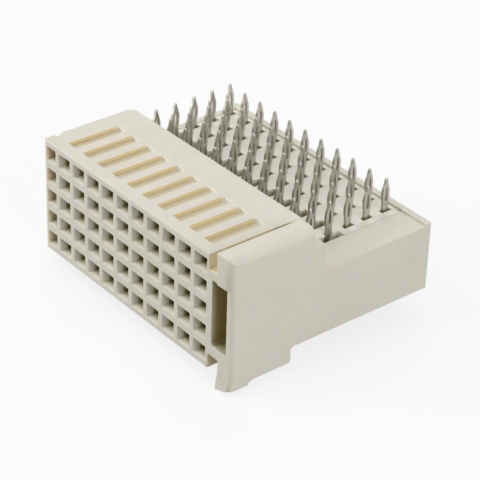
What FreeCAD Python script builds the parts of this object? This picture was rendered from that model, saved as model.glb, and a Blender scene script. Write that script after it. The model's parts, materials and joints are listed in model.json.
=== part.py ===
import FreeCAD, Part
import os

os.makedirs("parts", exist_ok=True)
Vec = FreeCAD.Vector

# Right-angle receptacle for a backplane: a moulded housing with a grid of contact chambers,
# an organiser plate over its hollow rear and one stamped contact for each chamber.
# Sizes are in millimetres. While it is drawn, X runs along the columns from the first one,
# Y from the mating face to the rear, and Z up from the axis of the top row.

# Contact grid
PITCH = 2.0

# Outside of the housing
MODULE_LENGTH = 24.9
SIDE_WALL = 0.9
BLOCK_END_WALL = 1.05
ROOF = 1.2
KEEL = 1.15
BLOCK_DEPTH = 8.95
KEEL_DEPTH = 5.95
BODY_DEPTH = 20.27
SEAT_DROP = 2.07
BODY_HEIGHT = 6.0
REAR_RIM = 0.19
WALL = 0.6
FLOOR = 0.5
KEEL_SLOPE = 0.3
EDGE_ROUND = 0.15
FRONT_ROUND = 0.3
RIDGE_ROUND = 0.8
SMALL_ROUND = 0.12
NOTCH_START = 1.0
NOTCH_END = 1.65
NOTCH_WIDTH = 0.42
NOTCH_DROP = 0.35
CORE_ROOF = 0.9

# Contact chambers
MOUTH_WIDTH = 1.56
MOUTH_HEIGHT = 1.32
THROAT_WIDTH = 0.9
THROAT_HEIGHT = 0.86
FUNNEL_DEPTH = 0.46
THROAT_END = 1.0
CHAMBER_WIDTH = 1.2
CHAMBER_HEIGHT = 1.0
CHAMBER_END = 5.2
HOLLOW_TOP = 0.3

# Relief grooves in the roof, one beside each column but the last
GROOVE_OFFSET = 0.97
GROOVE_WIDTH = 1.1
GROOVE_DEPTH = 0.38
GROOVE_START = 1.15
GROOVE_END = 6.1

# Guide flange and guide slot at the end of the grid
FLANGE_THICKNESS = 1.7
FLANGE_GAP = 1.2
FLANGE_PROUD = 0.25
FLANGE_RISE = 0.85
FLANGE_LENGTH = 7.9
FLANGE_ROUND = 0.8
SHOULDER_DROP = 0.9
FOOT_DROP = 1.15
FOOT_HEEL_DROP = 0.35
FOOT_NOSE_LENGTH = 1.65
FOOT_NOSE_FLAT = 0.95
FOOT_SLANT = 0.7
NECK_LOW = 0.3
CHAMFER = 0.15
BRIDGE_INSET = 1.35
SLOT_WIDTH = 1.8
SLOT_HEIGHT = 5.9
SLOT_DEPTH = 7.6
SLOT_GAP = 0.42
SLOT_RAISE = 0.12
SLOT_LINTEL = 0.15

# Organiser plate
PLATE_THICKNESS = 0.93
PLATE_GAP = 0.04
PLATE_SUNK = 0.04
COMB_DEPTH = 4.75
FINGER_OVERHANG = 0.19
TAIL_TO_PLATE_END = 1.0
SLOT_PLAY = 0.05
TAIL_SLOT_LENGTH = 1.0
TAIL_SLOT_WIDTH = 0.5
LEAD_GAP = 0.14

# Stamped contacts
SHEET = 0.26
LEAD_WIDTH = 0.36
LEAD_CLEARANCE = 0.06
LEAD_UNDER_PLATE = 0.37
FORK_START = 1.3
FORK_THROAT = 2.05
FORK_ROOT = 4.2
FORK_GAP = 0.34
FORK_NOSE = 0.12
FORK_RELIEF = 0.08
FIRST_TAIL = 10.8
TAIL_TO_REAR = 1.4
TAIL_HEIGHT = 2.85
SHANK_WIDTH = 0.54
SHANK_HEIGHT = 0.45
EYE_WIDTH = 0.74
EYE_LOW = 1.1
EYE_HIGH = 1.6
NECK_HEIGHT = 2.35
NECK_WIDTH = 0.3
TIP_WIDTH = 0.12
SLIT_WIDTH = 0.26
SLIT_LOW = 0.7
SLIT_HIGH = 2.2
SLIT_TAPER = 0.35
LEANING_ROWS = 2
LEAN = 0.42

# As many columns as the module's length holds, and as many rows of tails as its depth holds
GRID_LENGTH = MODULE_LENGTH - SIDE_WALL - BLOCK_END_WALL - FLANGE_GAP - FLANGE_THICKNESS
COLUMNS = int(GRID_LENGTH / PITCH) + 1
ROWS = int((BODY_DEPTH - FIRST_TAIL - TAIL_TO_REAR) / PITCH) + 1

# Places that follow from the sizes
LAST_COLUMN = (COLUMNS - 1) * PITCH
LEFT = -SIDE_WALL
RIGHT = LEFT + MODULE_LENGTH
BLOCK_RIGHT = LAST_COLUMN + BLOCK_END_WALL
BLOCK_TOP = ROOF
BLOCK_BOTTOM = -(ROWS - 1) * PITCH - KEEL
SEAT = -SEAT_DROP
BODY_BOTTOM = SEAT - BODY_HEIGHT
FLANGE_LEFT = RIGHT - FLANGE_THICKNESS
FLANGE_TOP = BLOCK_TOP + FLANGE_RISE
SHOULDER = BLOCK_TOP - SHOULDER_DROP
FOOT_BOTTOM = BLOCK_BOTTOM - FOOT_DROP
FOOT_HEEL = BLOCK_BOTTOM - FOOT_HEEL_DROP
SLOT_LEFT = BLOCK_RIGHT + SLOT_GAP
SLOT_MIDDLE = 0.5 * (BLOCK_TOP + BLOCK_BOTTOM) + SLOT_RAISE
FLUSH_TOP = SLOT_MIDDLE + 0.5 * SLOT_HEIGHT + SLOT_LINTEL
PLATE_TOP = SEAT - PLATE_SUNK
PLATE_BOTTOM = SEAT - PLATE_SUNK - PLATE_THICKNESS
PLATE_LEFT = LEFT + WALL
PLATE_RIGHT = LAST_COLUMN + TAIL_TO_PLATE_END
PLATE_REAR = BODY_DEPTH - WALL
HOLLOW_BOTTOM = BODY_BOTTOM + FLOOR
RIDGE_INSIDE = BLOCK_DEPTH - WALL
# The leads share the height of the hollow evenly
LEAD_TOP = PLATE_BOTTOM - LEAD_UNDER_PLATE
LEAD_LOW = HOLLOW_BOTTOM + LEAD_CLEARANCE + 0.5 * LEAD_WIDTH
LEAD_STEP = (LEAD_TOP - LEAD_LOW) / (ROWS - 1)

# The finished part stands on the middle of its own box
MIDDLE_X = 0.5 * (LEFT + RIGHT)
MIDDLE_Y = 0.5 * (BODY_DEPTH - FLANGE_PROUD)


def box(x0, x1, y0, y1, z0, z1):
    return Part.makeBox(x1 - x0, y1 - y0, z1 - z0, Vec(x0, y0, z0))


def side_prism(points, x0, x1):
    """A profile drawn from the side, as (y, z) corners, pulled along X."""
    corners = [Vec(x0, y, z) for y, z in points]
    wire = Part.makePolygon(corners + corners[:1])
    return Part.Face(wire).extrude(Vec(x1 - x0, 0, 0))


def front_prism(points, y0, y1):
    """A profile drawn from the front, as (x, z) corners, pulled along Y."""
    corners = [Vec(x, y0, z) for x, z in points]
    wire = Part.makePolygon(corners + corners[:1])
    return Part.Face(wire).extrude(Vec(0, y1 - y0, 0))


def edges_where(shape, test):
    """The edges whose two ends both pass the test."""
    found = []
    for edge in shape.Edges:
        if all(test(vertex.Point) for vertex in edge.Vertexes):
            found.append(edge)
    return found


def near(a, b):
    return abs(a - b) < 1e-6


def front_block():
    """The block that plugs into the header: one shape seen from above, the side and the front."""
    plan = box(LEFT, BLOCK_RIGHT, 0, BLOCK_DEPTH, BLOCK_BOTTOM, BLOCK_TOP)
    left_front = edges_where(plan, lambda p: near(p.x, LEFT) and near(p.y, 0))
    left_rear = edges_where(plan, lambda p: near(p.x, LEFT) and near(p.y, BLOCK_DEPTH))
    plan = plan.makeFillet(FRONT_ROUND, left_front).makeFillet(RIDGE_ROUND, left_rear)
    outline = [
        (0, BLOCK_BOTTOM),
        (KEEL_DEPTH, BLOCK_BOTTOM),
        (KEEL_DEPTH + KEEL_SLOPE, BODY_BOTTOM),
        (BLOCK_DEPTH, BODY_BOTTOM),
        (BLOCK_DEPTH, BLOCK_TOP),
        (0, BLOCK_TOP),
    ]
    side = side_prism(outline, LEFT, BLOCK_RIGHT)
    top_front = edges_where(side, lambda p: near(p.y, 0) and near(p.z, BLOCK_TOP))
    side = side.makeFillet(EDGE_ROUND, top_front)
    front = box(LEFT, BLOCK_RIGHT, 0, BLOCK_DEPTH, BLOCK_BOTTOM, BLOCK_TOP)
    top_left = edges_where(front, lambda p: near(p.x, LEFT) and near(p.z, BLOCK_TOP))
    front = front.makeFillet(EDGE_ROUND, top_left)
    return plan.common(side).common(front)


def edge_notch():
    """A short notch in the top left edge, just behind the mating face."""
    return box(LEFT - 1, LEFT + NOTCH_WIDTH, NOTCH_START, NOTCH_END, BLOCK_TOP - NOTCH_DROP, BLOCK_TOP + 1)


def rear_body():
    """The low rear of the housing; the board lies on its top and on the rim at its rear edge."""
    body = box(LEFT, RIGHT, RIDGE_INSIDE, BODY_DEPTH, BODY_BOTTOM, SEAT)
    rim = box(LEFT, RIGHT, BODY_DEPTH - WALL, BODY_DEPTH, BODY_BOTTOM, SEAT + REAR_RIM)
    body = body.fuse(rim).removeSplitter()
    corners = edges_where(body, lambda p: near(p.y, BODY_DEPTH) and (near(p.x, LEFT) or near(p.x, RIGHT)))
    upright = [edge for edge in corners if not near(edge.Vertexes[0].Z, edge.Vertexes[1].Z)]
    return body.makeFillet(SMALL_ROUND, upright)


def guide_flange():
    """The tall end wall with its foot; only its head and foot stand proud of the mating face."""
    outline = [
        (-FLANGE_PROUD, FLANGE_TOP),
        (FLANGE_LENGTH, FLANGE_TOP),
        (FLANGE_LENGTH, SHOULDER),
        (BLOCK_DEPTH, SHOULDER),
        (BLOCK_DEPTH, BODY_BOTTOM),
        (KEEL_DEPTH + KEEL_SLOPE, BODY_BOTTOM),
        (KEEL_DEPTH, BODY_BOTTOM - CHAMFER),
        (KEEL_DEPTH, FOOT_HEEL + CHAMFER),
        (KEEL_DEPTH - CHAMFER, FOOT_HEEL),
        (FOOT_NOSE_LENGTH + 4 * CHAMFER, FOOT_HEEL),
        (FOOT_NOSE_LENGTH + CHAMFER, FOOT_HEEL - CHAMFER),
        (FOOT_NOSE_LENGTH, FOOT_BOTTOM + CHAMFER),
        (FOOT_NOSE_FLAT, FOOT_BOTTOM),
        (-FLANGE_PROUD, FOOT_BOTTOM),
        (0.0, BLOCK_BOTTOM + NECK_LOW),
        (0.0, FLUSH_TOP),
        (-FLANGE_PROUD, FLUSH_TOP),
    ]
    flange = side_prism(outline, FLANGE_LEFT, RIGHT)
    rounded = box(FLANGE_LEFT, RIGHT, -FLANGE_PROUD, BLOCK_DEPTH, FOOT_BOTTOM, FLANGE_TOP)
    front = edges_where(rounded, lambda p: near(p.x, RIGHT) and near(p.y, -FLANGE_PROUD))
    top = edges_where(rounded, lambda p: near(p.x, RIGHT) and near(p.z, FLANGE_TOP))
    flange = flange.common(rounded.makeFillet(FLANGE_ROUND, front + top))
    # The foot's underside rises towards the outer face
    heel = [
        (FLANGE_LEFT, FOOT_BOTTOM),
        (RIGHT + 1, FOOT_BOTTOM + FOOT_SLANT),
        (RIGHT + 1, FOOT_BOTTOM - 1),
        (FLANGE_LEFT, FOOT_BOTTOM - 1),
    ]
    return flange.cut(front_prism(heel, -1, FOOT_NOSE_LENGTH + CHAMFER))


def guide_bridge():
    """The web that ties the flange to the block, open to a slit above and below it."""
    low = BLOCK_BOTTOM + BRIDGE_INSET
    high = BLOCK_TOP - BRIDGE_INSET
    web = box(BLOCK_RIGHT - 0.1, FLANGE_LEFT + 0.1, 0, BLOCK_DEPTH, low, high)
    tail = box(BLOCK_RIGHT - 0.1, FLANGE_LEFT + 0.1, FLANGE_LENGTH, BLOCK_DEPTH, BODY_BOTTOM, SHOULDER)
    return web.fuse(tail)


def guide_slot():
    """The tall slot that takes the header's guide."""
    low = SLOT_MIDDLE - 0.5 * SLOT_HEIGHT
    slot = box(SLOT_LEFT, SLOT_LEFT + SLOT_WIDTH, -1, SLOT_DEPTH, low, low + SLOT_HEIGHT)
    upright = edges_where(slot, lambda p: near(p.x, SLOT_LEFT) or near(p.x, SLOT_LEFT + SLOT_WIDTH))
    along = [edge for edge in upright if not near(edge.Vertexes[0].Y, edge.Vertexes[1].Y)]
    return slot.makeFillet(SMALL_ROUND, along)


def core_pocket():
    """The thick end of the rear body is cored out from below."""
    x0 = PLATE_RIGHT + WALL
    return box(x0, RIGHT - WALL, BLOCK_DEPTH + WALL, BODY_DEPTH - WALL, BODY_BOTTOM - 1, SEAT - CORE_ROOF)


def chamber(column, row):
    """Funnel, throat and chamber of one contact, cut from the mating face."""
    x = column * PITCH
    z = -row * PITCH
    throat = 0.5 * THROAT_WIDTH
    mouth = 0.5 * MOUTH_WIDTH
    # The first column sits so near the side that its funnel opens to one side only
    mouth_left = throat if column == 0 else mouth
    half_mouth = 0.5 * MOUTH_HEIGHT
    half_throat = 0.5 * THROAT_HEIGHT
    half_width = 0.5 * CHAMBER_WIDTH
    half_height = 0.5 * CHAMBER_HEIGHT
    funnel = Part.makeWedge(
        x - mouth_left, 0, z - half_mouth, z - half_throat, x - throat,
        x + mouth, FUNNEL_DEPTH, z + half_mouth, z + half_throat, x + throat,
    )
    neck = box(x - throat, x + throat, FUNNEL_DEPTH, THROAT_END, z - half_throat, z + half_throat)
    room = box(x - half_width, x + half_width, THROAT_END, CHAMBER_END + 0.1, z - half_height, z + half_height)
    return funnel.fuse([neck, room])


def roof_groove(column):
    """A flat-bottomed groove along the roof, from behind the mating face."""
    x0 = column * PITCH + GROOVE_OFFSET
    return box(x0, x0 + GROOVE_WIDTH, GROOVE_START, GROOVE_END, BLOCK_TOP - GROOVE_DEPTH, BLOCK_TOP + 1)


def lead_slot(column):
    """The space behind one column in which its leads turn up to the board."""
    x = column * PITCH
    z_low = -(ROWS - 1) * PITCH - 0.42
    outline = [
        (CHAMBER_END, z_low),
        (CHAMBER_END, HOLLOW_TOP),
        (RIDGE_INSIDE, HOLLOW_TOP),
        (RIDGE_INSIDE, PLATE_BOTTOM + 0.6),
        (BLOCK_DEPTH, PLATE_BOTTOM),
        (PLATE_REAR, PLATE_BOTTOM),
        (PLATE_REAR, HOLLOW_BOTTOM),
        (CHAMBER_END + HOLLOW_BOTTOM - z_low, HOLLOW_BOTTOM),
    ]
    half = 0.5 * CHAMBER_WIDTH
    return side_prism(outline, x - half, x + half)


def plate_pocket():
    """The recess in the seating face that takes the organiser plate."""
    return box(
        PLATE_LEFT - PLATE_GAP,
        PLATE_RIGHT + PLATE_GAP,
        BLOCK_DEPTH,
        PLATE_REAR + PLATE_GAP,
        PLATE_BOTTOM,
        SEAT + 1,
    )


def housing():
    solid = front_block().fuse([rear_body(), guide_flange(), guide_bridge()]).removeSplitter()
    cutters = [edge_notch(), guide_slot(), core_pocket(), plate_pocket()]
    for column in range(COLUMNS - 1):
        cutters.append(roof_groove(column))
    for column in range(COLUMNS):
        cutters.append(lead_slot(column))
        for row in range(ROWS):
            cutters.append(chamber(column, row))
    return solid.cut(cutters).removeSplitter()


def leans(row):
    return LEAN if row < LEANING_ROWS else 0.0


def tail_position(row):
    return FIRST_TAIL + row * PITCH


def closed_slot(column, row):
    """A slot in the plate, open above and below, round one upright tail."""
    x = column * PITCH
    y = tail_position(row)
    half = 0.5 * TAIL_SLOT_LENGTH
    x0 = x - 0.5 * SHEET - SLOT_PLAY
    return box(x0, x0 + TAIL_SLOT_WIDTH, y - half, y + half, PLATE_BOTTOM - 1, PLATE_TOP + 1)


def finger_slot(column, row):
    """A leaning slot in the flank of a comb finger, for a lead of the front rows."""
    x = column * PITCH
    y = tail_position(row)
    half = 0.5 * SHANK_WIDTH + LEAD_GAP
    low = PLATE_BOTTOM - 0.2
    high = SEAT + 0.2
    y_low = y - leans(row) * (SEAT - low)
    y_high = y - leans(row) * (SEAT - high)
    outline = [(y_low - half, low), (y_low + half, low), (y_high + half, high), (y_high - half, high)]
    return side_prism(outline, x - 0.5 * SHEET - SLOT_PLAY, x + FINGER_OVERHANG + 0.1)


def comb_gap(column):
    """The open space beside one finger, through which its leads are put in."""
    x0 = column * PITCH + FINGER_OVERHANG
    x1 = column * PITCH + 0.5 * PITCH
    return box(x0, x1, BLOCK_DEPTH - 1, BLOCK_DEPTH + COMB_DEPTH, PLATE_BOTTOM - 1, PLATE_TOP + 1)


def organiser_plate():
    """The plate that keeps the tails on the grid: a comb in front, closed slots behind."""
    plate = box(PLATE_LEFT, PLATE_RIGHT, BLOCK_DEPTH + PLATE_GAP, PLATE_REAR, PLATE_BOTTOM, PLATE_TOP)
    cutters = []
    for column in range(COLUMNS):
        cutters.append(comb_gap(column))
        for row in range(ROWS):
            if row < LEANING_ROWS:
                cutters.append(finger_slot(column, row))
            else:
                cutters.append(closed_slot(column, row))
    return plate.cut(cutters).removeSplitter()


def ribbon(path, half):
    """Both sides of a strip of even width along a path of (y, z) points."""
    left = []
    right = []
    for i, (y, z) in enumerate(path):
        before = path[max(i - 1, 0)]
        after = path[min(i + 1, len(path) - 1)]
        into = Vec(y - before[0], z - before[1], 0)
        out = Vec(after[0] - y, after[1] - z, 0)
        into = out if into.Length == 0 else into
        out = into if out.Length == 0 else out
        into.normalize()
        out.normalize()
        bisector = into + out
        bisector.normalize()
        reach = half / max(bisector.dot(into), 0.3)
        left.append((y - bisector.y * reach, z + bisector.x * reach))
        right.append((y + bisector.y * reach, z - bisector.x * reach))
    return left, right


def lead_path(row):
    """Middle line of a lead, from the contact's grip to the underside of the seating plane."""
    axis = -row * PITCH
    level = LEAD_TOP - row * LEAD_STEP
    start = CHAMBER_END
    tail = tail_position(row)
    riser_foot = tail - leans(row) * (SEAT - level)
    return [
        (start - 0.15, axis),
        (start, axis),
        (start + abs(axis - level), level),
        (riser_foot, level),
        (tail - leans(row) * 0.4, SEAT - 0.4),
    ]


def contact_outline(row):
    """One stamped contact from the side: fork, grip, lead and press-fit tail."""
    axis = -row * PITCH
    tail = tail_position(row)
    gap = 0.5 * FORK_GAP
    full = 0.5 * CHAMBER_HEIGHT
    root = FORK_ROOT + 0.25
    lower = [
        (root + 0.5, axis - full),
        (root + 0.15, axis - full),
        (FORK_START, axis - full + FORK_NOSE),
        (FORK_START, axis - full + 2 * FORK_NOSE),
        (FORK_THROAT, axis - gap),
        (FORK_ROOT, axis - gap - FORK_RELIEF),
    ]
    upper = [(y, 2 * axis - z) for y, z in reversed(lower)]
    left, right = ribbon(lead_path(row), 0.5 * LEAD_WIDTH)
    front_edge = [
        (tail - 0.5 * SHANK_WIDTH, SEAT),
        (tail - 0.5 * SHANK_WIDTH, SEAT + SHANK_HEIGHT),
        (tail - 0.5 * EYE_WIDTH, SEAT + EYE_LOW),
        (tail - 0.5 * EYE_WIDTH, SEAT + EYE_HIGH),
        (tail - 0.5 * NECK_WIDTH, SEAT + NECK_HEIGHT),
        (tail - 0.5 * TIP_WIDTH, SEAT + TAIL_HEIGHT),
    ]
    rear_edge = [(2 * tail - y, z) for y, z in reversed(front_edge)]
    return lower + upper + left + front_edge + rear_edge + list(reversed(right))


def eye_outline(row):
    """The slit that lets the press-fit tail spring in its board hole."""
    tail = tail_position(row)
    low = SEAT + SLIT_LOW
    high = SEAT + SLIT_HIGH
    half = 0.5 * SLIT_WIDTH
    return [
        (tail, low),
        (tail + half, low + SLIT_TAPER),
        (tail + half, high - SLIT_TAPER),
        (tail, high),
        (tail - half, high - SLIT_TAPER),
        (tail - half, low + SLIT_TAPER),
    ]


def contact(column, row):
    x0 = column * PITCH - 0.5 * SHEET
    blank = side_prism(contact_outline(row), x0, x0 + SHEET)
    return blank.cut(side_prism(eye_outline(row), x0 - 1, x0 + SHEET + 1))


def export(shape, name):
    """Moves a piece from the drawing place to the part's own frame and writes it."""
    placed = shape.copy()
    placed.translate(Vec(-MIDDLE_X, -MIDDLE_Y, -FOOT_BOTTOM))
    placed.exportStep("parts/" + name + ".step")


export(housing(), "housing")
export(organiser_plate(), "organiser_plate")
for row in range(ROWS):
    for column in range(COLUMNS):
        name = "contact_" + chr(ord("a") + row) + str(column + 1).zfill(2)
        export(contact(column, row), name)
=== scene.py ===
# %% [markdown]
# This lesson dresses a right-angle backplane receptacle. It is a small moulded connector: a
# housing with a grid of funnelled mouths, a plate that keeps the pins on their grid, and one
# stamped contact for each mouth, whose press-fit tail stands up at the back.
# The first cell loads the solids. They are the frame of the whole scene: they are never moved,
# and everything that follows is placed from them. The first measure taken from them is the pitch,
# from one contact to the next, which the whole grid keeps.

# %% Load the solids
import json
import math
import random

import bmesh
import bpy
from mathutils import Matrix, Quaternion, Vector

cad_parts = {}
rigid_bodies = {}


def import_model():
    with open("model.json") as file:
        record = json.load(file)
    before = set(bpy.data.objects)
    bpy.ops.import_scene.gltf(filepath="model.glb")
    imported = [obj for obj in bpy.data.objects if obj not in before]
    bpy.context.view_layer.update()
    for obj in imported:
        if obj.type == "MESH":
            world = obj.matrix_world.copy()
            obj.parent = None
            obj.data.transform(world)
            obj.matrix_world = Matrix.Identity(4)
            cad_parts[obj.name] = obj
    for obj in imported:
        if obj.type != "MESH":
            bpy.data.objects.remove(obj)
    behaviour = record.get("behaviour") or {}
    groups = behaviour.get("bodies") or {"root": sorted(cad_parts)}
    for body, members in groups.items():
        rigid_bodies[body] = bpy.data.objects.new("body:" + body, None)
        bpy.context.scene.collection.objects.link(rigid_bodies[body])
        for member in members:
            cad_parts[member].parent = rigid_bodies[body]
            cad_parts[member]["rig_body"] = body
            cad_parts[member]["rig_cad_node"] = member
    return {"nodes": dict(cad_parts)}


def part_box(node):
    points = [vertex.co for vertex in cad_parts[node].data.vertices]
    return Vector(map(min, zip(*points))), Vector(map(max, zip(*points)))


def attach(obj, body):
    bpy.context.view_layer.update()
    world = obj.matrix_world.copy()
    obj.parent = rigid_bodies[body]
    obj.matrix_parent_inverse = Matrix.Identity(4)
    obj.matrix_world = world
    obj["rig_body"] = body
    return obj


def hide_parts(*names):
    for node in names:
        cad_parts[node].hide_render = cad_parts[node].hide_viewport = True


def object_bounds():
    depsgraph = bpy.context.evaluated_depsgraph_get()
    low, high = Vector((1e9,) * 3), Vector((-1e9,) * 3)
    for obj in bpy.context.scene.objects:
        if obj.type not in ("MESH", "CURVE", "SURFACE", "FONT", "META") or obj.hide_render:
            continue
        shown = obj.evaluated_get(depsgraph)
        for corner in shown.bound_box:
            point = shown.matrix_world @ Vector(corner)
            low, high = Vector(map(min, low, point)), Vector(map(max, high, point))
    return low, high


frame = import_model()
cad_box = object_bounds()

MM = 0.001
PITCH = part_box("contact_a02")[0].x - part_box("contact_a01")[0].x
print("solids:", len(frame["nodes"]), "box in mm:", [round(v / MM, 2) for c in cad_box for v in c])
print("pitch of the grid in mm:", round(PITCH / MM, 3))

# %% [markdown]
# An operator in Blender works on whatever is selected, so a script that models as by hand needs
# a clean selection before each step. These helpers take up one object at a time, and select
# corners of its mesh by where they are.

# %% Helpers for selecting
def let_go():
    """Leave edit mode and deselect everything."""
    if bpy.context.mode != "OBJECT":
        bpy.ops.object.mode_set(mode="OBJECT")
    bpy.ops.object.select_all(action="DESELECT")


def take_up(piece):
    """Make this piece the only selected and the active one."""
    let_go()
    piece.select_set(True)
    bpy.context.view_layer.objects.active = piece


def edit(piece):
    """Open a piece's mesh, with all its corners selected."""
    take_up(piece)
    bpy.ops.object.mode_set(mode="EDIT")
    bpy.ops.mesh.select_mode(type="VERT")
    bpy.ops.mesh.select_all(action="SELECT")


def pick(piece, test):
    """In edit mode, select just the corners whose place passes the test."""
    mesh = bmesh.from_edit_mesh(piece.data)
    for corner in mesh.verts:
        corner.select = test(corner.co)
    mesh.select_flush_mode()
    mesh.select_flush(True)
    bmesh.update_edit_mesh(piece.data)


def face_count(piece):
    return len(piece.data.polygons)


# %% [markdown]
# A material is a small net of nodes. The first helper adds a node, sets its plain sockets and
# wires the others up, so that each material below reads as a short list of steps. A socket is
# named by its label, with a line for each blank, or by i and its number where labels repeat.

# %% Helpers for nodes
def new_material(name):
    material = bpy.data.materials.new(name)
    material.use_nodes = True
    material.node_tree.nodes.clear()
    return material


def fill(owner, socket, value):
    """Link a value that is another node's socket, and set any other."""
    if isinstance(value, bpy.types.NodeSocket):
        owner.node_tree.links.new(value, socket)
    else:
        socket.default_value = value


def add(owner, kind, **sockets):
    """Add a node to a material or to the world."""
    node = owner.node_tree.nodes.new("ShaderNode" + kind)
    for name, value in sockets.items():
        numbered = name[1:].isdigit()
        fill(owner, node.inputs[int(name[1:]) if numbered else name.replace("_", " ")], value)
    return node


def reckon(owner, operation, first, second=0.0):
    """One step of arithmetic."""
    node = add(owner, "Math", i0=first, i1=second)
    node.operation = operation
    return node.outputs[0]


def greatest(owner, values):
    best = values[0]
    for value in values[1:]:
        best = reckon(owner, "MAXIMUM", best, value)
    return best


# %% [markdown]
# Patterns are drawn from Object coordinates. Those belong to the piece and not to the camera,
# so the same streak stays on the same wall in every view. Noise gives soft random values, and
# Map Range turns them into the range that a colour blend or a roughness needs.

# %% Helpers for patterns and colours
def noise(material, size, stretch=(1, 1, 1), detail=2.0):
    """Soft random values whose patches are about this size, in metres."""
    place = add(material, "Mapping", Vector=add(material, "TexCoord").outputs["Object"], Scale=stretch)
    node = add(material, "TexNoise", Vector=place.outputs["Vector"], Scale=1 / size, Detail=detail)
    return node.outputs[0]


def spread(owner, value, low, high, start=0.3, end=0.7):
    """Map the values between start and end to those between low and high."""
    node = add(owner, "MapRange", Value=value, i1=start, i2=end, i3=low, i4=high)
    return node.outputs["Result"]


def blend(material, factor, first, second):
    """Go from one colour to another. Each is plain or already wired up."""
    node = add(material, "Mix", i0=factor)
    node.data_type = "RGBA"
    for socket, colour in ((node.inputs[6], first), (node.inputs[7], second)):
        fill(material, socket, (*colour, 1) if isinstance(colour, tuple) else colour)
    return node.outputs[2]


# %% [markdown]
# The housing's resin is a pale, glass-filled plastic. It is matt, a little translucent, and
# never quite even: the melt leaves faint streaks along its flow, and the fibres a fine speckle.
# Noise in three sizes makes the cloudiness, the flow lines and the speckle. A painted picture
# could do it too, but would need the housing unwrapped, with all its 55 chambers.

# %% The resin's grain
CLOUD_SIZE = 4 * MM
FLOW_SIZE = 0.6 * MM
FLOW_STRETCH = (1, 0.12, 1)
SPECKLE_SIZE = 0.09 * MM


def resin_grain(material):
    """The flow lines, the speckle, and all three patterns added up."""
    cloud = noise(material, CLOUD_SIZE, detail=3.0)
    flow = noise(material, FLOW_SIZE, stretch=FLOW_STRETCH)
    speckle = noise(material, SPECKLE_SIZE, detail=1.0)
    patches = reckon(material, "ADD", spread(material, cloud, 0, 0.55), spread(material, flow, 0, 0.3))
    return flow, speckle, reckon(material, "ADD", patches, spread(material, speckle, 0, 0.35))


print("grain of the resin, in mm:", [round(v / MM, 2) for v in (CLOUD_SIZE, FLOW_SIZE, SPECKLE_SIZE)])

# %% [markdown]
# Light that has bounced about in a narrow pocket has lost its blue, so mouths, slots and grooves
# look tan. That tan is painted shade: an Ambient Occlusion node measures how closed in a place
# is, and the colour goes from ivory to tan with it.
# Some places need painted light and shade of their own. Walls that are so thin that light comes
# through them get a warmer painted glow: under the roof's grooves, beside the flange's slits and
# outside the first column. The guide slot and the rooms behind the mouths are deep, and get a
# darker, greener painted shade. These places are marked as boxes in the part's own coordinates,
# so that the marks stay where they are meant in every view.

# %% Boxes in the part's coordinates
ZONES = {
    "first_column_side": ((-12.44, -10.0, 1.3), (-11.95, -9.2, 11.2)),
    "upper_slit": ((9.50, -10.3, 10.12), (10.80, -1.0, 11.49)),
    "upper_slit_front": ((9.50, -10.3, 10.12), (10.80, -9.2, 11.40)),
    "lower_slit": ((9.50, -10.3, 1.16), (10.80, -3.0, 2.53)),
    "roof_grooves": ((-11.0, -8.90, 11.08), (9.6, -3.87, 11.485)),
    "groove_walls": ((-11.0, -8.90, 11.08), (9.6, -4.02, 11.485)),
    "groove_ends": ((-11.0, -4.02, 11.08), (9.6, -3.87, 11.485)),
    "chambers": ((-12.3, -9.25, 1.3), (9.0, -1.7, 11.0)),
    "guide_slot": ((9.90, -9.95, 3.45), (11.74, -2.3, 9.44)),
}
ZONE_EDGE = 0.03


def zone(material, low, high):
    """One inside a box, given by two corners in millimetres, and nothing outside it."""
    half = [(end - start) / 2 * MM for start, end in zip(low, high)]
    centre = [(end + start) / 2 * MM for start, end in zip(low, high)]
    place = add(material, "Mapping", Vector=add(material, "TexCoord").outputs["Object"])
    place.inputs["Scale"].default_value = [1 / v for v in half]
    place.inputs["Location"].default_value = [-c / v for c, v in zip(centre, half)]
    away = add(material, "VectorMath", i0=place.outputs["Vector"])
    away.operation = "ABSOLUTE"
    parts = add(material, "SeparateXYZ", Vector=away.outputs[0])
    most = greatest(material, [parts.outputs[axis] for axis in "XYZ"])
    return spread(material, most, 1.0, 0.0, 1 - ZONE_EDGE, 1 + ZONE_EDGE)


def marked(material, *names):
    """One inside any of the named boxes, and nothing outside them."""
    return greatest(material, [zone(material, *ZONES[name]) for name in names])


print("marked places:", ", ".join(ZONES))

# %% [markdown]
# The Ambient Occlusion node sends short rays out from a point and counts those that get away.
# It looks at its own piece only, so that a contact doesn't paint shade on the wall beside it. The
# plate needs nothing more: its comb and slots get their tan painted shade from this alone.

# %% Painted shade of closed places
POCKET_REACH = 3.6 * MM
CLOSED, OPEN = 0.30, 0.67
# painted shade: the tan that closed-in places take
POCKET_SHADE_TAN = (0.42, 0.375, 0.18)


def closed_in(material):
    """One where near walls hide most of the surroundings, and nothing on open faces."""
    openness = add(material, "AmbientOcclusion", Distance=POCKET_REACH)
    openness.samples = 8
    openness.only_local = True
    return spread(material, openness.outputs["AO"], 1.0, 0.0, CLOSED, OPEN)


# painted shade: the plate's closed-in places turn tan
def plate_painted_shade(material, colour):
    return blend(material, closed_in(material), colour, POCKET_SHADE_TAN)


print("reach of the pocket tint in mm:", round(POCKET_REACH / MM, 2))

# %% [markdown]
# Each roof groove gets a painted tan shade, strongest at its left wall, next to the mouth below,
# where that wall's shadow falls, and fading across its floor. All the grooves are one pitch apart,
# so one ramp that starts again at every pitch does for all of them: the fraction of the place along
# the grid, counted in pitches.

# %% Painted shade of the roof's grooves
# painted shade of the grooves, and painted light on their end walls
GROOVE_SHADE_TAN = (0.79, 0.66, 0.42)
END_PAINTED_LIGHT = (0.91, 0.875, 0.78)
FIRST_GROOVE = -10.62 * MM
STRONG, FAINT = 0.95, 0.05
FADE_FROM, FADE_TO = 0.04, 0.5


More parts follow.
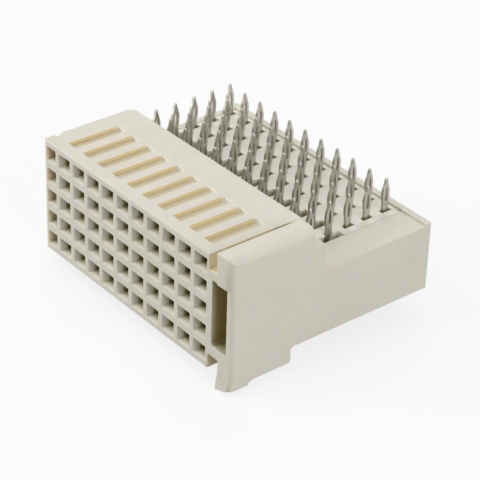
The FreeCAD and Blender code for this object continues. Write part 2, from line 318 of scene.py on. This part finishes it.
def groove_painted_shade(material):
    """Painted shade, strong at the left wall of each roof groove, and fading across its floor."""
    along = add(material, "SeparateXYZ", Vector=add(material, "TexCoord").outputs["Object"])
    from_wall = reckon(material, "ADD", along.outputs["X"], -FIRST_GROOVE)
    across = reckon(material, "FRACT", reckon(material, "MULTIPLY", from_wall, 1 / PITCH))
    fading = spread(material, across, STRONG, FAINT, FADE_FROM, FADE_TO)
    return reckon(material, "MULTIPLY", marked(material, "groove_walls"), fading)


print("part of a pitch over which the tint fades:", round(FADE_TO - FADE_FROM, 2))

# %% [markdown]
# The housing takes its painted light and shade one after the other, each laid over the last. The
# painted shade of pockets is kept off the thin places, because there the light comes through the
# wall from behind, and they get a painted glow instead. The end wall of a groove faces the light,
# so it gets painted light, paler than the floor.

# %% Painted light and shade of the housing
# painted shade of the deep slot and chambers, and painted glow where light comes through thin walls
CHAMBER_SHADE_OLIVE = (0.12, 0.10, 0.035)
SLOT_SHADE_OLIVE = (0.42, 0.34, 0.11)
PAINTED_WALL_GLOW = (1.0, 0.85, 0.61)
PAINTED_GLOW_SHARE = 0.85


# the housing's painted light and shade, each laid over the last
def housing_painted_light(material, colour):
    thin = marked(material, "first_column_side", "upper_slit_front", "lower_slit")
    spared = greatest(material, [thin, marked(material, "upper_slit", "roof_grooves")])
    closed = reckon(material, "MULTIPLY", closed_in(material), spread(material, spared, 1.0, 0.0, 0.0, 1.0))
    colour = blend(material, closed, colour, POCKET_SHADE_TAN)
    for place, tint in (("guide_slot", SLOT_SHADE_OLIVE), ("chambers", CHAMBER_SHADE_OLIVE)):
        colour = blend(material, reckon(material, "MULTIPLY", closed, marked(material, place)), colour, tint)
    colour = blend(material, groove_painted_shade(material), colour, GROOVE_SHADE_TAN)
    colour = blend(material, marked(material, "groove_ends"), colour, END_PAINTED_LIGHT)
    return blend(material, reckon(material, "MULTIPLY", thin, PAINTED_GLOW_SHARE), colour, PAINTED_WALL_GLOW)


print("tints of the housing:", POCKET_SHADE_TAN, SLOT_SHADE_OLIVE, CHAMBER_SHADE_OLIVE, GROOVE_SHADE_TAN, END_PAINTED_LIGHT, PAINTED_WALL_GLOW)

# %% [markdown]
# The resin puts the grain and the painted light and shade together in a Principled shader.
# Subsurface scattering lets light creep a quarter of a millimetre under the skin, which softens
# edges and thin walls. The flow lines also vary the gloss, and a fine bump gives the skin of a
# spark-eroded mould. The plate gets its own, paler light and dark; part of that paleness is painted
# light, which makes up for the shade that the tails cast on it.

# %% Material: moulded resin
def resin(name, light, dark, glow, painted_tints):
    material = new_material(name)
    flow, speckle, grain = resin_grain(material)
    bump = add(material, "Bump", Strength=0.25, Distance=0.02 * MM, Height=speckle)
    shader = add(
        material,
        "BsdfPrincipled",
        Base_Color=painted_tints(material, blend(material, grain, light, dark)),
        Roughness=spread(material, flow, 0.46, 0.58),
        IOR=1.5,
        Specular_IOR_Level=0.35,
        Subsurface_Weight=glow,
        Subsurface_Radius=(1.0, 0.55, 0.22),
        Subsurface_Scale=0.25 * MM,
        Normal=bump.outputs["Normal"],
    )
    shader.subsurface_method = "RANDOM_WALK"
    add(material, "OutputMaterial", Surface=shader.outputs["BSDF"])
    print("material", name, "has", len(material.node_tree.nodes), "nodes")
    return material


# the housing's colour carries painted light and shade
RESIN = resin("moulded_resin", (0.83, 0.80, 0.70), (0.78, 0.745, 0.64), 0.4, housing_painted_light)
# paler plate: partly painted light, making up for the shade that the tails cast
PLATE_RESIN = resin("plate_resin", (0.95, 0.915, 0.82), (0.90, 0.86, 0.76), 0.35, plate_painted_shade)

# %% [markdown]
# The contacts are stamped from bronze strip and plated with matt tin. The rolled faces have
# fine lines along the strip, and the sheared edges are darker and rougher than the faces.
# The direction that a face looks tells the two apart, so no painting is needed. The tips are
# coined, and their colour is darker; their height marks them.

# %% Material: tin plate
ROLLED_LIGHT = (0.60, 0.585, 0.525)
ROLLED_DARK = (0.50, 0.48, 0.425)
SHEARED = (0.39, 0.375, 0.33)
DARKER_TIP = (0.42, 0.41, 0.375)
DARKER_TIP_FROM, DARKER_TIP_TO = 10.10 * MM, 10.80 * MM


def tin_plate():
    material = new_material("tin_plate")
    lines = noise(material, 0.05 * MM, stretch=(1, 1, 0.06))
    stain = noise(material, 1.1 * MM)
    facing = add(material, "SeparateXYZ", Vector=add(material, "TexCoord").outputs["Normal"])
    across = reckon(material, "ABSOLUTE", facing.outputs["X"])
    sheared = spread(material, across, 1.0, 0.0, 0.35, 0.8)
    face = blend(material, spread(material, stain, 0, 1), ROLLED_LIGHT, ROLLED_DARK)
    height = add(material, "SeparateXYZ", Vector=add(material, "TexCoord").outputs["Object"])
    coined = spread(material, height.outputs["Z"], 0.0, 1.0, DARKER_TIP_FROM, DARKER_TIP_TO)
    face = blend(material, coined, face, DARKER_TIP)
    bump = add(material, "Bump", Strength=0.35, Distance=0.01 * MM, Height=lines)
    shader = add(
        material,
        "BsdfPrincipled",
        Base_Color=blend(material, sheared, face, SHEARED),
        Metallic=1.0,
        Roughness=spread(material, lines, 0.34, 0.5),
        Normal=bump.outputs["Normal"],
    )
    add(material, "OutputMaterial", Surface=shader.outputs["BSDF"])
    print("material tin_plate has", len(material.node_tree.nodes), "nodes")
    return material


TIN = tin_plate()

# %% [markdown]
# No real edge is sharp: a mould's corners are a little round, and stampings are tumbled in a
# barrel until their edges are broken. Each edge then catches a thin line of light. A Bevel
# modifier rounds every edge between faces that meet at a clear angle.
# Rounded edges make the shading of the large faces beside them sag. Weighted normals cure that:
# each corner takes the direction of its largest face, so flat faces stay flat.

# %% Rounding edges
def round_edges(piece, width, sharper_than):
    """Round the edges where faces meet at more than this angle, in degrees."""
    bevel = piece.modifiers.new("rounded_edges", "BEVEL")
    bevel.width = width
    bevel.segments = 2
    bevel.limit_method = "ANGLE"
    bevel.angle_limit = math.radians(sharper_than)
    bevel.use_clamp_overlap = False
    bpy.ops.object.modifier_apply(modifier=bevel.name)


def keep_faces_flat(piece, smooth_under):
    """Shade roundings smooth, up to this angle in degrees, and the faces between them flat."""
    bpy.ops.object.shade_smooth_by_angle(angle=math.radians(smooth_under))
    weighted = piece.modifiers.new("flat_faces", "WEIGHTED_NORMAL")
    weighted.keep_sharp = True
    weighted.weight = 100
    bpy.ops.object.modifier_apply(modifier=weighted.name)


# %% [markdown]
# The housing and the plate have their true form in the solids already, so they aren't modelled
# again. Each solid is copied, the copy's loose triangles are merged, flat neighbours are
# dissolved into whole faces, and the edges are rounded by a few hundredths of a millimetre.

# %% The mouldings, with their edges rounded
MERGE_WITHIN = 0.002 * MM
FLAT_WITHIN = math.radians(0.5)


def soft_copy(node, name, material, rounding):
    take_up(frame["nodes"][node])
    bpy.ops.object.duplicate()
    piece = bpy.context.active_object
    bpy.ops.object.parent_clear(type="CLEAR_KEEP_TRANSFORM")
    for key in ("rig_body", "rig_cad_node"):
        del piece[key]
    piece.name = name
    edit(piece)
    bpy.ops.mesh.remove_doubles(threshold=MERGE_WITHIN)
    bpy.ops.mesh.dissolve_limited(angle_limit=FLAT_WITHIN)
    bpy.ops.object.mode_set(mode="OBJECT")
    before = face_count(piece)
    round_edges(piece, rounding, sharper_than=35)
    # Where three roundings meet at a sliver, a corner can be thrown out; it goes back to the box
    for corner in piece.data.vertices:
        corner.co = [min(max(v, low), high) for v, low, high in zip(corner.co, *cad_box)]
    keep_faces_flat(piece, smooth_under=40)
    piece.data.materials.clear()
    piece.data.materials.append(material)
    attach(piece, "root")
    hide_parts(node)
    print(name, "faces before and after rounding:", before, face_count(piece))


soft_copy("housing", "moulded_housing", RESIN, 0.04 * MM)
soft_copy("organiser_plate", "comb_plate", PLATE_RESIN, 0.025 * MM)

# %% [markdown]
# Each contact is stamped flat from strip and never bent out of its plane, so it can be drawn
# flat too. Where it runs is read from the part: the tail stands where its solid stands, and the
# fork lies on the axis of its own mouth. The box of a solid gives the places, and a few widths
# are given here as they are on the stamping.

# %% Sizes of a contact, read from the solids
ROW_LETTERS = "abcde"
ROWS = len(ROW_LETTERS)
COLUMNS = sum(name.startswith("contact_a") for name in frame["nodes"])


def contact_name(row, column):
    return "contact_" + ROW_LETTERS[row] + str(column + 1).zfill(2)


first_low, first_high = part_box(contact_name(0, 0))
SHEET = first_high.x - first_low.x
TAIL_TIP = first_high.z
FORK_FRONT = first_low.y

TAIL_LENGTH = 2.85 * MM
TIP_WIDTH = 0.2 * MM
EYE_WIDTH = 0.74 * MM
SHANK_WIDTH = 0.54 * MM
LEAD_WIDTH = 0.36 * MM
FORK_HEIGHT = 1.0 * MM
SEAT = TAIL_TIP - TAIL_LENGTH
print("contacts:", ROWS, "x", COLUMNS, "sheet in mm:", round(SHEET / MM, 3), "seat:", round(SEAT / MM, 2))

# %% [markdown]
# Five leads share the room below the plate, one level for each row, so that none touches its
# neighbour. The lowest row's fork is its lowest place, which gives the axis of that row of
# mouths, and the first two rows' lowest places are their leads, which gives the levels.

# %% Where the leads run
CHAMBER_LENGTH = 3.9 * MM
TINE_LENGTH = 2.9 * MM
CHAMBER_END = FORK_FRONT + CHAMBER_LENGTH
FORK_ROOT = FORK_FRONT + TINE_LENGTH
GRIP_LENGTH = 0.2 * MM
BEND = 0.35 * MM
NECK_DROP = 0.4 * MM
LEAN = 0.42
LEANING_ROWS = 2

bottom_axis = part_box(contact_name(ROWS - 1, 0))[0].z + FORK_HEIGHT / 2
first_level = first_low.z + LEAD_WIDTH / 2
level_step = first_low.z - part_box(contact_name(1, 0))[0].z
AXES = [bottom_axis + (ROWS - 1 - row) * PITCH for row in range(ROWS)]
LEVELS = [first_level - row * level_step for row in range(ROWS)]
TAILS = [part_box(contact_name(row, 0))[1].y - EYE_WIDTH / 2 for row in range(ROWS)]
for title, places in (("mouth axes", AXES), ("lead levels", LEVELS), ("tails", TAILS)):
    print(title, "in mm:", [round(place / MM, 2) for place in places])

# %% [markdown]
# The flat blank grows from the tip of the tail like a line drawn with a pen: its open end is
# extruded ahead and scaled to the next width. It is three faces wide, because where the middle
# face is taken out later the blank has a slit. The pen knows where the open end is, how wide it
# is, and how wide its middle face is.
# Scaling the end about its own middle works in every direction, because all four corners of the
# end lie on one line.

# %% Drawing a flat blank
SAME_PLACE = 0.001 * MM


def start_blank(tip, width):
    """A short piece of strip, three faces wide, hanging down from the tip."""
    let_go()
    bpy.ops.mesh.primitive_grid_add(
        x_subdivisions=3,
        y_subdivisions=1,
        size=width,
        location=tip - Vector((0, 0, width / 2)),
        rotation=(math.pi / 2, 0, math.pi / 2),
    )
    bpy.ops.object.transform_apply()
    blank = bpy.context.active_object
    edit(blank)
    end = tip - Vector((0, 0, width))
    pick(blank, lambda c: abs(c.z - end.z) < SAME_PLACE)
    return blank, {"at": end, "wide": width, "slit": width / 3}


def widen_slit(blank, pen, slit):
    """Scale the two inner corners of the open end, and leave all four selected."""
    mesh = bmesh.from_edit_mesh(blank.data)
    end = [corner for corner in mesh.verts if corner.select]
    inner = sorted(end, key=lambda corner: (corner.co - pen["at"]).length)[:2]
    for corner in mesh.verts:
        corner.select = corner in inner
    mesh.select_flush_mode()
    factor = slit / pen["slit"]
    bpy.ops.transform.resize(value=(1, factor, factor), center_override=pen["at"])
    for corner in end:
        corner.select = True
    mesh.select_flush_mode()
    mesh.select_flush(True)
    bmesh.update_edit_mesh(blank.data)
    pen["slit"] = slit


def ahead(blank, pen, place, wide=None, slit=None):
    """Extrude the open end to a place, and give it a new width there."""
    bpy.ops.mesh.extrude_region_move(TRANSFORM_OT_translate={"value": place - pen["at"]})
    pen["at"] = place
    if wide:
        factor = wide / pen["wide"]
        bpy.ops.transform.resize(value=(1, factor, factor), center_override=place)
        pen["wide"], pen["slit"] = wide, pen["slit"] * factor
    if slit:
        widen_slit(blank, pen, slit)


# %% [markdown]
# A lead turns a corner in an arc. The spin operator sweeps the open end round a hinge, and the
# hinge lies one bend radius to the inside of the corner. How far before the corner the arc has
# to start follows from the angle: it is the radius times the tangent of half of it.

# %% Turning a corner
def round_corner(blank, pen, corner, after):
    """Go up to a corner and spin the open end round it, towards the place after it."""
    into = (corner - pen["at"]).normalized()
    out = (after - corner).normalized()
    angle = into.angle(out)
    hinge = into.cross(out).normalized()
    reach = BEND * math.tan(angle / 2)
    before = corner - into * reach
    ahead(blank, pen, before)
    bpy.ops.mesh.spin(steps=3, angle=-angle, center=before + hinge.cross(into) * BEND, axis=hinge)
    pen["at"] = corner + out * reach


# %% [markdown]
# A press-fit tail holds in its board hole without solder. Its tip is narrow, to find the hole,
# and its eye is the widest place: a slit opens inside it, so that the two sides can spring
# together. At the other end the blank opens into a fork, whose two tines hold the header's pin.
# Both are lists of stations along the strip, in millimetres.

# %% Widths along the blank
def tail_stations():
    """Depth below the tip, width and slit, from the tip down to the shank."""
    eye, shank = EYE_WIDTH / MM, SHANK_WIDTH / MM
    return [
        (0.50, 0.34, 0.08),
        (0.80, 0.54, 0.08),
        (0.98, 0.66, 0.16),
        (1.22, eye, 0.22),
        (1.50, eye, 0.24),
        (1.78, eye - 0.03, 0.22),
        (1.98, 0.66, 0.16),
        (2.14, 0.60, 0.08),
        (2.42, shank, 0.08),
    ]


def fork_stations():
    """Distance behind the fork's tips, height and gap, from the grip to the tips."""
    return [
        (3.60, 1.00, 0.30),
        (3.25, 1.00, 0.40),
        (2.90, 0.98, 0.50),
        (2.60, 0.95, 0.46),
        (0.75, 0.82, 0.34),
        (0.30, 0.80, 0.42),
        (0.00, 0.76, 0.56),
    ]


print("stations along a tail:", len(tail_stations()), "along a fork:", len(fork_stations()))

# %% [markdown]
# The shank goes down through the plate. In the two front rows it leans forward below the plate,
# because the housing's front block stands close. Then the lead turns towards its mouth, climbs
# or dips at 45 degrees to the row's axis, and ends in the fork.

# %% One blank for each row
def draw_blank(row):
    tail, axis, level = TAILS[row], AXES[row], LEVELS[row]
    tip = Vector((0, tail, TAIL_TIP))
    blank, pen = start_blank(tip, TIP_WIDTH)
    for depth, wide, slit in tail_stations():
        ahead(blank, pen, tip - Vector((0, 0, depth * MM)), wide * MM, slit * MM)
    lean = LEAN if row < LEANING_ROWS else 0.0
    seat = Vector((0, tail, SEAT))
    neck = Vector((0, tail - lean * NECK_DROP, SEAT - NECK_DROP))
    foot = Vector((0, tail - lean * (SEAT - level), level))
    if lean:
        round_corner(blank, pen, seat, neck)
    else:
        ahead(blank, pen, seat)
    ahead(blank, pen, neck, LEAD_WIDTH)
    ramp = Vector((0, CHAMBER_END + abs(axis - level), level))
    mouth = Vector((0, CHAMBER_END, axis))
    grip = Vector((0, CHAMBER_END - GRIP_LENGTH, axis))
    for corner, after in ((foot, ramp), (ramp, mouth), (mouth, grip)):
        round_corner(blank, pen, corner, after)
    ahead(blank, pen, grip)
    for behind, wide, gap in fork_stations():
        ahead(blank, pen, Vector((0, FORK_FRONT + behind * MM, axis)), wide * MM, gap * MM)
    return blank


# %% [markdown]
# Now the middle faces of the eye and of the fork are deleted, which opens the slits. A Boolean
# could cut them too, but deleting faces of a flat blank is quicker and leaves a clean mesh.
# Then one extrusion gives the sheet's thickness, the tip is coined thinner so that it finds its
# hole, and the edges are broken.

# %% From flat blank to finished contact
SLIT_TOP, SLIT_FOOT = 0.80 * MM, 2.14 * MM
NEAR = 0.02 * MM
COINED_LENGTH = 0.1 * MM
COINED_SHARE = 0.65
EDGE_BREAK = 0.025 * MM


def open_slits(blank, row):
    """Delete the middle faces of the eye and of the fork."""
    bpy.ops.mesh.select_mode(type="FACE")
    mesh = bmesh.from_edit_mesh(blank.data)
    for face in mesh.faces:
        middle = face.calc_center_median()
        in_eye = abs(middle.y - TAILS[row]) < NEAR and SLIT_TOP < TAIL_TIP - middle.z < SLIT_FOOT
        in_fork = abs(middle.z - AXES[row]) < NEAR and middle.y < FORK_ROOT
        face.select_set(in_eye or in_fork)
    bmesh.update_edit_mesh(blank.data)
    bpy.ops.mesh.delete(type="FACE")


def thicken(blank):
    """Give the blank its thickness, coin the tip, and break the edges."""
    bpy.ops.mesh.select_mode(type="VERT")
    bpy.ops.mesh.select_all(action="SELECT")
    bpy.ops.transform.translate(value=(-SHEET / 2, 0, 0))
    bpy.ops.mesh.extrude_region_move(TRANSFORM_OT_translate={"value": (SHEET, 0, 0)})
    bpy.ops.mesh.select_all(action="SELECT")
    bpy.ops.mesh.remove_doubles(threshold=SAME_PLACE)
    bpy.ops.mesh.normals_make_consistent(inside=False)
    pick(blank, lambda c: c.z > TAIL_TIP - COINED_LENGTH)
    bpy.ops.transform.resize(value=(COINED_SHARE, 1, 1), center_override=(0, 0, TAIL_TIP))
    bpy.ops.object.mode_set(mode="OBJECT")
    round_edges(blank, EDGE_BREAK, sharper_than=40)
    keep_faces_flat(blank, smooth_under=42)
    blank.data.materials.append(TIN)


# %% [markdown]
# The blank of a row is copied to each column, and every copy has a mesh of its own. Real tails
# are never quite straight, so each one is turned a fraction of a degree about its foot. The
# random numbers have a fixed seed, so that they are the same each time.

# %% The contacts, row by row
chance = random.Random(11)
TAIL_TILT = math.radians(0.7)
TURNED_FROM = SEAT + 0.3 * MM


def place_copy(blank, row, column):
    take_up(blank)
    bpy.ops.object.duplicate()
    copy = bpy.context.active_object
    copy.name = "stamped_" + contact_name(row, column)
    low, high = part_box(contact_name(row, column))
    middle = (low.x + high.x) / 2
    foot = (middle, high.y - EYE_WIDTH / 2, SEAT)
    edit(copy)
    bpy.ops.transform.translate(value=(middle, 0, 0))
    pick(copy, lambda c: c.z > TURNED_FROM)
    for axis in ("X", "Y"):
        tilt = chance.uniform(-TAIL_TILT, TAIL_TILT)
        bpy.ops.transform.rotate(value=tilt, orient_axis=axis, center_override=foot)
    bpy.ops.object.mode_set(mode="OBJECT")
    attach(copy, "root")
    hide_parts(contact_name(row, column))


for row in range(ROWS):
    blank = draw_blank(row)
    open_slits(blank, row)
    thicken(blank)
    for column in range(COLUMNS):
        place_copy(blank, row, column)
    print("row", ROW_LETTERS[row], "blank of", face_count(blank), "faces, copied", COLUMNS, "times")
    take_up(blank)
    bpy.ops.object.delete()

# %% [markdown]
# The camera stands where the photographer's did. A long lens from a hand's breadth away keeps
# the lines nearly parallel. The angles are round the object, and the roll is the small tilt of
# the part on its foot. The quaternion points the camera along its view without a target object.

# %% Camera
VIEW_AZIMUTH = math.radians(50.234)
VIEW_ELEVATION = math.radians(31.941)
VIEW_ROLL = math.radians(1.888)
VIEW_DISTANCE = 164.98 * MM
AIM = Vector((1.053, -0.072, 4.828)) * MM
LENS = 151.757

camera = bpy.data.objects.new("camera", bpy.data.cameras.new("camera"))
bpy.context.scene.collection.objects.link(camera)
back = Vector((
    math.sin(VIEW_AZIMUTH) * math.cos(VIEW_ELEVATION),
    -math.cos(VIEW_AZIMUTH) * math.cos(VIEW_ELEVATION),
    math.sin(VIEW_ELEVATION),
))
camera.location = AIM + back * VIEW_DISTANCE
camera.rotation_mode = "QUATERNION"
camera.rotation_quaternion = (-back).to_track_quat("-Z", "Y") @ Quaternion((0, 0, 1), VIEW_ROLL)
camera.data.sensor_width = 36
camera.data.lens = LENS
camera.data.clip_start = 0.01
bpy.context.scene.camera = camera
print("camera stands at, in mm:", [round(v / MM, 1) for v in camera.location])

# %% [markdown]
# The photograph's light is broad and soft. A low box on the left lights the grid of mouths from
# the side, so that the left walls of the mouths fall into shade; a low one on the right lights
# the flange; weak ones stand higher, behind and to both sides; and one hangs overhead, which
# brings light between the tails. A lamp is described here by its compass angle round the part
# and its height angle, as a photographer would note it.

# %% Lamps
LAMP_DISTANCE = 0.35
LAMP_SIZE = 0.20
MIDDLE = Vector((0, 0, 6 * MM))


def soft_light(name, compass, height, power):
    around, up = math.radians(compass), math.radians(height)
    away = Vector((math.cos(around) * math.cos(up), math.sin(around) * math.cos(up), math.sin(up)))
    data = bpy.data.lights.new(name, "AREA")
    data.shape = "SQUARE"
    data.size = LAMP_SIZE
    data.energy = power
    lamp = bpy.data.objects.new(name, data)
    lamp.location = MIDDLE + away * LAMP_DISTANCE
    lamp.rotation_mode = "QUATERNION"
    lamp.rotation_quaternion = (-away).to_track_quat("-Z", "Y")
    bpy.context.scene.collection.objects.link(lamp)
    print("lamp", name, "stands", [round(v, 3) for v in lamp.location])


soft_light("right_low", 0, 15, 0.56)
soft_light("left_low", 225, 15, 0.732)
soft_light("right_high", 0, 50, 0.10)
soft_light("rear_high", 135, 50, 0.24)
soft_light("left_high", 225, 50, 0.12)
soft_light("overhead", 0, 90, 0.105)

# %% [markdown]
# The world fills the shadows a little. The camera, and whatever a shiny or clear surface
# mirrors, should see plain white instead of that dim fill, and the Light Path node tells these
# rays apart.

# %% World
FILL = 0.256


def plainly_seen(owner):
    """One for the camera's rays and for those that a shiny or clear surface sends on."""
    rays = add(owner, "LightPath")
    kinds = ("Is Camera Ray", "Is Glossy Ray", "Is Transmission Ray")
    return greatest(owner, [rays.outputs[kind] for kind in kinds])


world = bpy.data.worlds.new("studio")
world.use_nodes = True
world.node_tree.nodes.clear()
strength = spread(world, plainly_seen(world), FILL, 1.0, 0.0, 1.0)
background = add(world, "Background", Color=(1, 1, 1, 1), Strength=strength)
add(world, "OutputWorld", Surface=background.outputs["Background"])
bpy.context.scene.world = world
print("world nodes:", len(world.node_tree.nodes), "fill:", FILL)

# %% [markdown]
# The floor does the same: it shows white with the part's soft shadow on it, and for every other
# ray it is a mid grey card, so that it doesn't light the part from below. Most of the white is
# emission, and a small share of lit paper is what carries the shadow.

# %% Floor
FLOOR_SIZE = 1.2
FLOOR_GREY = 0.25
FLOOR_SHADOW_SHARE = 0.2

let_go()
bpy.ops.mesh.primitive_plane_add(size=FLOOR_SIZE, location=(0, 0, 0))
floor = bpy.context.active_object
floor.name = "floor"
paper = new_material("floor_paper")
grey = add(paper, "BsdfDiffuse", Color=(FLOOR_GREY, FLOOR_GREY, FLOOR_GREY, 1))
lit = add(paper, "BsdfDiffuse", Color=(1, 1, 1, 1))
white = add(paper, "Emission", Color=(1, 1, 1, 1), Strength=1.0)
shown = add(paper, "MixShader", i0=FLOOR_SHADOW_SHARE, i1=white.outputs[0], i2=lit.outputs[0])
mixed = add(paper, "MixShader", i0=plainly_seen(paper), i1=grey.outputs[0], i2=shown.outputs[0])
add(paper, "OutputMaterial", Surface=mixed.outputs[0])
floor.data.materials.append(paper)

bpy.context.scene.view_settings.view_transform = "Standard"
print("floor of", FLOOR_SIZE, "m, with a shadow share of", FLOOR_SHADOW_SHARE)
